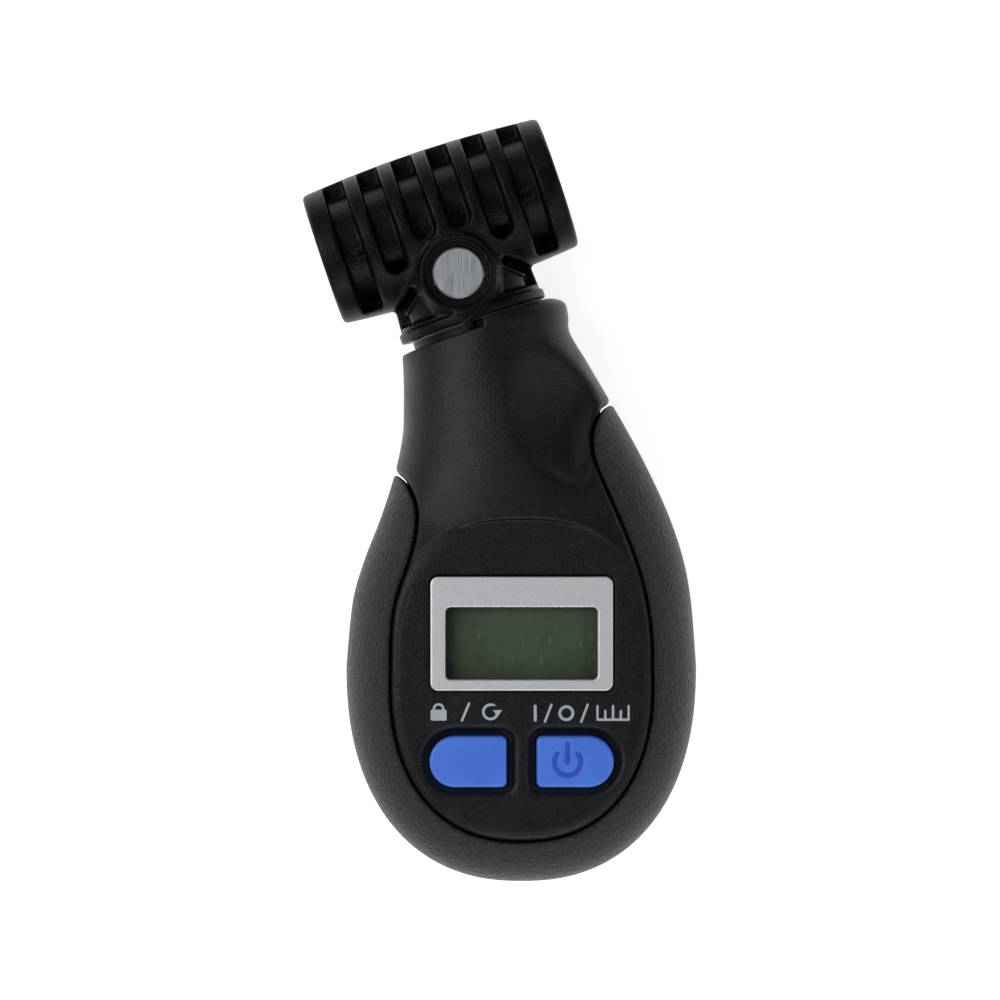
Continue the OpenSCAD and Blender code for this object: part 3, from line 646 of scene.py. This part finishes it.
def power_mark(x, y, grow=0.0):
    """Ring with a gap at its top and a bar through the gap."""
    centre_x, ring_r, half_line = 7.1, 2.02, 0.38
    dx, dy = x - centre_x, y - BUTTON_Y
    ring = np.abs(ball(dx, dy) - ring_r) - half_line
    turn = np.arctan2(np.abs(dx), dy)
    gap = (math.radians(40) - turn) * ring_r
    bar = rounded_box(dx, dy - 1.45, 0.41, 1.75, 0.4)
    return np.minimum(both(ring, gap, 0.3), bar) - grow


def mark_inlay(material):
    """The sunk floor of the power mark, in a darker blue."""
    thick = 0.25
    top = CAPS["power_button"][1][2] - 0.20
    grid = Grid((4.2, BUTTON_Y - 3, top - 0.3), (10, BUTTON_Y + 3.6, top), 0.1)
    field = np.maximum(power_mark(grid.x, grid.y, 0.05), band(grid.z, top - thick, top))
    mesh_piece("power_mark", *net(field, grid), material, "power_button", "button_blue", 30000)


def line_field(x, y, ax, ay, bx, by, r):
    """Distance in the plane to a stroke of half width r."""
    ex, ey = bx - ax, by - ay
    t = np.clip(((x - ax) * ex + (y - ay) * ey) / (ex * ex + ey * ey), 0, 1)
    return ball(x - ax - t * ex, y - ay - t * ey) - r


def hold_print(x, y):
    """A padlock, a stroke and a turning arrow: hold or clear."""
    cy, x = -2.75, x + 13.1
    lock = rounded_box(x - 0.3, y - cy + 0.5, 1.25, 0.85, 0.2)
    bow = np.maximum(np.abs(ball(x - 0.3, y - cy - 0.45) - 0.72) - 0.2, cy + 0.3 - y)
    leg = np.maximum(np.abs(np.abs(x - 0.3) - 0.72) - 0.2, np.abs(y - cy - 0.4) - 0.35)
    stroke = line_field(x, y, 3.9, cy - 1.3, 5.0, cy + 1.3, 0.2)
    turn = np.abs(ball(x - 8.3, y - cy) - 1.1) - 0.22
    gap = np.maximum(np.abs(y - cy - 0.45) - 0.45, 8.3 - x)
    head = polygon_field(x, y, [(8.65, cy + 0.3), (10.15, cy + 0.3), (9.4, cy - 0.75)])
    field = np.minimum(np.minimum(lock, np.minimum(bow, leg)), stroke)
    return np.minimum(field, np.minimum(cut(turn, gap), head))


def power_print(x, y):
    """A bar, a stroke, a ring, a stroke and a graduated scale: on, off and units."""
    cy, x = -2.95, x - 1.3
    field = line_field(x, y, 0.8, cy - 1.1, 0.8, cy + 1.1, 0.24)
    for at in (2.3, 7.9):
        field = np.minimum(field, line_field(x, y, at, cy - 1.3, at + 1, cy + 1.3, 0.2))
    field = np.minimum(field, np.abs(ball(x - 5.6, y - cy) - 1.0) - 0.24)
    field = np.minimum(field, line_field(x, y, 10.4, cy - 1.0, 15.2, cy - 1.0, 0.19))
    for k in range(5):
        at, rise = 10.4 + 1.2 * k, 1.1 if k % 2 == 0 else 0.35
        field = np.minimum(field, line_field(x, y, at, cy - 1.0, at, cy + rise, 0.19))
    return field


def face_print(name, pattern, low, high, material):
    """Ink on the face, just proud of it and rooted in it."""
    proud, thick = 0.03, 0.14
    top = FACE_Z + proud
    grid = Grid((*low, top - 0.16), (*high, top), 0.07)
    field = np.maximum(pattern(grid.x, grid.y), band(grid.z, top - thick, top))
    mesh_piece(name, *net(field, grid), material, "handle", "white_plastic", 40000)


# ---------------------------------------------------------------- materials

def node_tree(name):
    """A new material, its node tree and its Principled shader."""
    material = bpy.data.materials.new(name)
    material.use_nodes = True
    tree = material.node_tree
    shader = tree.nodes["Principled BSDF"]
    return material, tree, shader


def put(tree, kind, **settings):
    """A new node with some of its settings."""
    node = tree.nodes.new(kind)
    for key, value in settings.items():
        setattr(node, key, value)
    return node


def noise(tree, size_mm, detail=2.0, rough=0.5, stretch=None):
    """Noise whose features are about size_mm across."""
    where = put(tree, "ShaderNodeTexCoord")
    source = where.outputs["Object"]
    if stretch is not None:
        mapping = put(tree, "ShaderNodeMapping")
        mapping.inputs["Scale"].default_value = stretch
        tree.links.new(source, mapping.inputs["Vector"])
        source = mapping.outputs["Vector"]
    texture = put(tree, "ShaderNodeTexNoise")
    texture.inputs["Scale"].default_value = 1 / (size_mm * MM)
    texture.inputs["Detail"].default_value = detail
    texture.inputs["Roughness"].default_value = rough
    tree.links.new(source, texture.inputs["Vector"])
    return texture.outputs["Fac"]


def spread(tree, source, low, high, from_low=0.3, from_high=0.7):
    """Maps a value to the range low..high. Noise keeps mostly between 0.3 and 0.7."""
    node = put(tree, "ShaderNodeMapRange")
    node.inputs["From Min"].default_value = from_low
    node.inputs["From Max"].default_value = from_high
    node.inputs["To Min"].default_value = low
    node.inputs["To Max"].default_value = high
    tree.links.new(source, node.inputs["Value"])
    return node.outputs["Result"]


def mix_colours(tree, factor, first, second):
    """From the first fixed colour to the second."""
    node = put(tree, "ShaderNodeMix", data_type="RGBA")
    node.inputs[6].default_value = (*first, 1)
    node.inputs[7].default_value = (*second, 1)
    tree.links.new(factor, node.inputs["Factor"])
    return node.outputs[2]


def lay_over(tree, factor, below, above):
    """A colour socket with a fixed colour laid over it by factor."""
    node = put(tree, "ShaderNodeMix", data_type="RGBA")
    tree.links.new(factor, node.inputs["Factor"])
    tree.links.new(below, node.inputs[6])
    node.inputs[7].default_value = (*above, 1)
    return node.outputs[2]


def bump(tree, shader, heights):
    """Bumps in a row: heights is a list of (height output, distance in millimetres, strength)."""
    last = None
    for height, distance, strength in heights:
        node = put(tree, "ShaderNodeBump")
        node.inputs["Distance"].default_value = distance * MM
        node.inputs["Strength"].default_value = strength
        tree.links.new(height, node.inputs["Height"])
        if last is not None:
            tree.links.new(last, node.inputs["Normal"])
        last = node.outputs["Normal"]
    tree.links.new(last, shader.inputs["Normal"])


def edge_wear_and_painted_highlight(tree):
    """One on sharp outer edges, nought elsewhere, broken up by noise: a mask for rubbed wear and
    for painted edge highlights.
    """
    shape = put(tree, "ShaderNodeNewGeometry")
    edge = spread(tree, shape.outputs["Pointiness"], 0, 1, 0.53, 0.62)
    broken = spread(tree, noise(tree, 1.2, 4, 0.7), 0.15, 1.0, 0.35, 0.65)
    both_of = put(tree, "ShaderNodeMath", operation="MULTIPLY")
    tree.links.new(edge, both_of.inputs[0])
    tree.links.new(broken, both_of.inputs[1])
    return both_of.outputs[0]


def brighter(colour, times):
    return tuple(min(c * times, 0.8) for c in colour)


def moulded(name, dark, light, rough, grain_mm, grain_depth, specular=0.5, wear_and_painted_highlight=2.0, painted_glint=1.15):
    """Spark-eroded plastic: fine grain with painted glints on it, slow changes of tone and gloss,
    and edges made lighter as rubbed wear and as painted highlights.

    The last two numbers say how many times brighter the lightened edges and the painted glints are.
    """
    material, tree, shader = node_tree(name)
    tone = spread(tree, noise(tree, PATCH_MM, 3), 0, 1)
    colour = mix_colours(tree, tone, dark, light)
    # painted glints: light specks on the grain that stand in for the sparkle of light on it
    painted_glints = spread(tree, noise(tree, grain_mm * 0.8, 2), 0, 1, 0.56, 0.72)
    colour = lay_over(tree, painted_glints, colour, brighter(light, painted_glint))
    # edges made lighter, partly as rubbed wear and partly as a painted highlight on their roundings
    colour = lay_over(tree, edge_wear_and_painted_highlight(tree), colour, brighter(light, wear_and_painted_highlight))
    tree.links.new(colour, shader.inputs["Base Color"])
    gloss = spread(tree, noise(tree, PATCH_MM * 0.6, 4), *rough)
    tree.links.new(gloss, shader.inputs["Roughness"])
    shader.inputs["Specular IOR Level"].default_value = specular
    bump(tree, shader, [(noise(tree, grain_mm * 2.6, 2), grain_depth * 0.9, 0.5),
                        (noise(tree, grain_mm, 2), grain_depth, 1.0)])
    return material


def rubber(name):
    """Grip rubber with an uneven leathery grain, painted paler on its crests as highlights."""
    material, tree, shader = node_tree(name)
    grain = noise(tree, 0.5, 3, 0.6)
    tone = spread(tree, noise(tree, 5, 4), 0, 1)
    colour = mix_colours(tree, tone, (0.0070, 0.0072, 0.0079), (0.0048, 0.0050, 0.0055))
    # painted highlight: the grain's crests made paler, so its hollows stay darker
    painted_crest_highlights = spread(tree, grain, 0, 1, 0.48, 0.70)
    colour = lay_over(tree, painted_crest_highlights, colour, (0.026, 0.0265, 0.028))
    tree.links.new(colour, shader.inputs["Base Color"])
    tree.links.new(spread(tree, noise(tree, 0.5, 3), 0.32, 0.52), shader.inputs["Roughness"])
    shader.inputs["Specular IOR Level"].default_value = 0.30
    bump(tree, shader, [(noise(tree, 1.3, 2), 0.30, 0.9), (grain, 0.42, 1.0),
                        (noise(tree, 0.2, 2), 0.10, 1.0)])
    return material


def silver_paint():
    """Metallic paint with a fine flake."""
    material, tree, shader = node_tree("bezel_paint")
    flake = spread(tree, noise(tree, 0.12, 2), 0, 1)
    colour = mix_colours(tree, flake, (0.60, 0.61, 0.64), (0.72, 0.73, 0.76))
    tree.links.new(colour, shader.inputs["Base Color"])
    shader.inputs["Metallic"].default_value = 0.55
    tree.links.new(spread(tree, noise(tree, 0.3, 2), 0.36, 0.48), shader.inputs["Roughness"])
    bump(tree, shader, [(noise(tree, 0.12, 2), 0.004, 0.7)])
    return material


def brushed_metal(name, colour, direction, rough=(0.2, 0.36)):
    """Aluminium with fine scratches along one way."""
    material, tree, shader = node_tree(name)
    fine = noise(tree, 0.18, 4, 0.6, stretch=direction)
    wide = noise(tree, 1.4, 3, 0.5, stretch=direction)
    pale = tuple(min(c * 1.25, 1) for c in colour)
    tone = mix_colours(tree, spread(tree, wide, 0, 1), colour, pale)
    tree.links.new(tone, shader.inputs["Base Color"])
    shader.inputs["Metallic"].default_value = 1.0
    tree.links.new(spread(tree, fine, *rough), shader.inputs["Roughness"])
    bump(tree, shader, [(fine, 0.01, 0.5)])
    return material


def screen_film_painted_shade():
    """The unlit display: a dark grey-green film with painted shade, darker towards its edges as if
    shaded by the bezel and lighter a little above and right of its middle.
    """
    material, tree, shader = node_tree("screen_film_painted_shade")
    where = put(tree, "ShaderNodeTexCoord")
    mapping = put(tree, "ShaderNodeMapping")
    middle = (WINDOW[0] + WINDOW[1]) / 2 * MM
    half_w, half_h = 13 * MM, 7.2 * MM
    mapping.inputs["Location"].default_value = (-(middle[0] + 1.5 * MM) / half_w,
                                                -(middle[1] + 1.8 * MM) / half_h, 0)
    mapping.inputs["Scale"].default_value = (1 / half_w, 1 / half_h, 0)
    tree.links.new(where.outputs["Object"], mapping.inputs["Vector"])
    reach = put(tree, "ShaderNodeVectorMath", operation="LENGTH")
    tree.links.new(mapping.outputs["Vector"], reach.inputs[0])
    # painted shade: darker towards the edges as the bezel's shadow, most at the left and bottom,
    # since the lighter middle is set up and to the right
    edge = spread(tree, reach.outputs["Value"], 0, 1, 0.55, 1.25)
    colour = mix_colours(tree, edge, (0.165, 0.215, 0.145), (0.075, 0.098, 0.066))
    tree.links.new(colour, shader.inputs["Base Color"])
    tree.links.new(spread(tree, noise(tree, 3, 3), 0.3, 0.42), shader.inputs["Roughness"])
    bump(tree, shader, [(noise(tree, 0.25, 2), 0.003, 0.5)])
    return material


def clear_window():
    """Clear plastic: lets the display through and mirrors a little, with fine scratches."""
    material, tree, shader = node_tree("clear_window")
    tree.nodes.remove(shader)
    out = tree.nodes["Material Output"]
    through = put(tree, "ShaderNodeBsdfTransparent")
    through.inputs["Color"].default_value = (0.95, 0.97, 0.95, 1)
    mirror = put(tree, "ShaderNodeBsdfGlossy")
    tree.links.new(spread(tree, noise(tree, 2.5, 4), 0.10, 0.25), mirror.inputs["Roughness"])
    haze = put(tree, "ShaderNodeBsdfDiffuse")
    haze.inputs["Color"].default_value = (0.55, 0.58, 0.55, 1)
    line = spread(tree, noise(tree, 0.28, 2, 0.5, stretch=(1, 0.08, 1)), 0, 0.14, 0.665, 0.74)
    scuffed = put(tree, "ShaderNodeMixShader")
    tree.links.new(line, scuffed.inputs[0])
    tree.links.new(through.outputs[0], scuffed.inputs[1])
    tree.links.new(haze.outputs[0], scuffed.inputs[2])
    fresnel = put(tree, "ShaderNodeFresnel")
    fresnel.inputs["IOR"].default_value = 1.45
    mix = put(tree, "ShaderNodeMixShader")
    tree.links.new(fresnel.outputs[0], mix.inputs[0])
    tree.links.new(scuffed.outputs[0], mix.inputs[1])
    tree.links.new(mirror.outputs[0], mix.inputs[2])
    tree.links.new(mix.outputs[0], out.inputs["Surface"])
    return material


def floor_white():
    """Matt white that glows a little, so that the floor stays pale."""
    material, _, shader = node_tree("floor_white")
    shader.inputs["Base Color"].default_value = (0.6, 0.6, 0.6, 1)
    shader.inputs["Roughness"].default_value = 0.9
    shader.inputs["Emission Color"].default_value = (1, 1, 1, 1)
    shader.inputs["Emission Strength"].default_value = 0.80
    return material


# ---------------------------------------------------------------- camera, lights, floor

def aim(thing, target):
    direction = Vector(target) - thing.location
    thing.rotation_euler = direction.to_track_quat("-Z", "Y").to_euler()


def add_camera():
    """Straight above the face."""
    low, high = np.array(cad_box[0]), np.array(cad_box[1])
    data = bpy.data.cameras.new("camera")
    camera = bpy.data.objects.new("camera", data)
    bpy.context.scene.collection.objects.link(camera)
    distance, width = 0.650, 0.1575
    middle = (low + high) / 2
    camera.location = (middle[0] + 0.00005, middle[1], MID_Z * MM + distance)
    camera.rotation_euler = (0, 0, 0)
    data.sensor_width = 36
    data.lens = data.sensor_width * distance / width
    data.clip_start, data.clip_end = 0.01, 20
    bpy.context.scene.camera = camera


def add_light(name, place, target, size, power):
    """A soft box, with its place, target and size in metres."""
    data = bpy.data.lights.new(name, "AREA")
    data.shape = "RECTANGLE"
    data.size, data.size_y = size
    data.energy = power
    light = bpy.data.objects.new(name, data)
    bpy.context.scene.collection.objects.link(light)
    light.location = place
    aim(light, target)


def add_studio():
    """Four soft boxes round the part, a faint even light and a pale floor."""
    centre = (0, 0.03, 0.01)
    add_light("left_box", (-0.42, 0.12, 0.50), centre, (0.3, 0.5), 2.3)
    add_light("right_box", (0.50, -0.05, 0.42), centre, (0.3, 0.5), 0.95)
    add_light("top_box", (-0.10, 0.60, 0.50), centre, (0.4, 0.25), 0.5)
    add_light("low_box", (0.06, -0.50, 0.42), centre, (0.5, 0.25), 2.0)
    world = bpy.data.worlds.new("studio")
    bpy.context.scene.world = world
    world.use_nodes = True
    back = world.node_tree.nodes["Background"]
    back.inputs["Color"].default_value = (1, 1, 1, 1)
    back.inputs["Strength"].default_value = 0.06
    mesh = bpy.data.meshes.new("floor")
    reach = 3.0
    corners = [(-reach, -reach, 0), (reach, -reach, 0), (reach, reach, 0), (-reach, reach, 0)]
    mesh.from_pydata(corners, [], [(0, 1, 2, 3)])
    floor = bpy.data.objects.new("floor", mesh)
    bpy.context.scene.collection.objects.link(floor)
    floor.location.z = -0.0002      # just under the part
    mesh.materials.append(floor_white())
    bpy.context.scene.view_settings.view_transform = "Standard"


# ---------------------------------------------------------------- putting it together

def paint(node, material):
    """Gives a CAD node that is shown as it is its material."""
    slots = frame["nodes"][node].data.materials
    slots.clear()
    slots.append(material)


def make_all():
    """Everything in the picture."""
    add_camera()
    add_studio()
    shell_black = moulded("housing_black", (0.0042, 0.0047, 0.0058), (0.0060, 0.0066, 0.0078),
                          (0.29, 0.40), 0.24, 0.085, specular=0.21, wear_and_painted_highlight=2.6, painted_glint=4.0)
    head_black = moulded("head_black", (0.0014, 0.0014, 0.0016), (0.0026, 0.0026, 0.0028),
                         (0.27, 0.38), 0.26, 0.085, specular=0.12, wear_and_painted_highlight=4.0, painted_glint=4.0)
    grip = rubber("grip_rubber")
    blue = moulded("button_blue", (0.046, 0.150, 0.640), (0.056, 0.178, 0.720),
                   (0.40, 0.52), 0.15, 0.010, wear_and_painted_highlight=1.25)
    deep_blue = moulded("mark_blue", (0.014, 0.062, 0.400), (0.018, 0.075, 0.450),
                        (0.4, 0.5), 0.15, 0.004)
    ink = moulded("print_grey", (0.29, 0.32, 0.37), (0.38, 0.41, 0.46),
                  (0.5, 0.6), 0.2, 0.01, wear_and_painted_highlight=1.2)
    silver = silver_paint()
    pin = brushed_metal("pin_metal", (0.52, 0.55, 0.59), (1, 0.05, 1), (0.30, 0.46))
    steel = brushed_metal("steel", (0.45, 0.45, 0.47), (1, 1, 1))
    brass = brushed_metal("brass", (0.60, 0.42, 0.16), (1, 1, 1))
    inner_black = moulded("inner_black", (0.010, 0.010, 0.010), (0.014, 0.014, 0.014),
                          (0.5, 0.65), 0.3, 0.01)
    soft_black = moulded("soft_black", (0.006, 0.006, 0.006), (0.010, 0.010, 0.010),
                         (0.5, 0.7), 0.25, 0.01)
    natural = moulded("natural_plastic", (0.55, 0.53, 0.47), (0.62, 0.60, 0.54),
                      (0.4, 0.5), 0.3, 0.01)
    red = moulded("red_silicone", (0.30, 0.04, 0.02), (0.36, 0.05, 0.03), (0.4, 0.5), 0.3, 0.01)
    green = moulded("board_green", (0.01, 0.10, 0.03), (0.015, 0.13, 0.04), (0.3, 0.4), 0.4, 0.01)
    pink = moulded("zebra_pink", (0.55, 0.30, 0.30), (0.6, 0.34, 0.34), (0.5, 0.6), 0.3, 0.01)

    def caps(node, side):
        return lambda: button_net(node, side)

    def head():
        corner, faces = head_shell()
        return head_place(corner), faces

    # name, how it is built, material, body, slot, the node it replaces
    made = [
        ("front_shell", front_housing, shell_black, "handle", "housing_plastic", "front_housing"),
        ("rear_shell", rear_housing, shell_black, "handle", "housing_plastic", "rear_housing"),
        ("grip_skin", grip_sleeve, grip, "handle", "grip_rubber", "grip_sleeve"),
        ("head_body", head, head_black, "head", "head_plastic", "head_shell"),
        ("bezel", bezel_net, silver, "handle", "bezel_silver", "display_bezel"),
        ("hold_cap", caps("hold_button", -1), blue, "hold_button", "button_blue", "hold_button"),
        ("power_cap", caps("power_button", 1), blue, "power_button", "button_blue", "power_button"),
    ]
    for name, build, material, body, slot, node in made:
        piece = mesh_piece(name, *build(), material, body, slot, TRIANGLES)
        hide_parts(node)
    mark_inlay(deep_blue)
    face_print("hold_print", hold_print, (-14.6, -4.8), (-2.4, -0.9), ink)
    face_print("power_print", power_print, (1.4, -4.9), (17.2, -1.1), ink)

    for material, nodes in (
        (pin, ["head_pin"]),
        (screen_film_painted_shade(), ["lcd_panel"]),
        (clear_window(), ["display_window"]),
        (shell_black, ["battery_cover"]),
        (head_black, ["swivel_socket"]),
        (inner_black, ["display_frame", "battery_tray", "wide_ring", "narrow_ring"]),
        (soft_black, ["controller_chip", "pin_orings", "port_seal", "stem_orings", "wide_seal",
                      "narrow_seal", "shuttle_orings"]),
        (natural, ["sensor_manifold", "air_tube", "swivel_washer", "shuttle"]),
        (steel, ["board_screws", "tact_switches", "pressure_sensor", "stem_retainer",
                 "battery_cell", "housing_screws"]),
        (brass, ["swivel_stem", "contact_plus", "contact_minus"]),
        (red, ["manifold_seal", "cover_seal"]),
        (green, ["circuit_board"]),
        (pink, ["zebra_strips"]),
    ):
        for node in nodes:
            paint(node, material)


make_all()
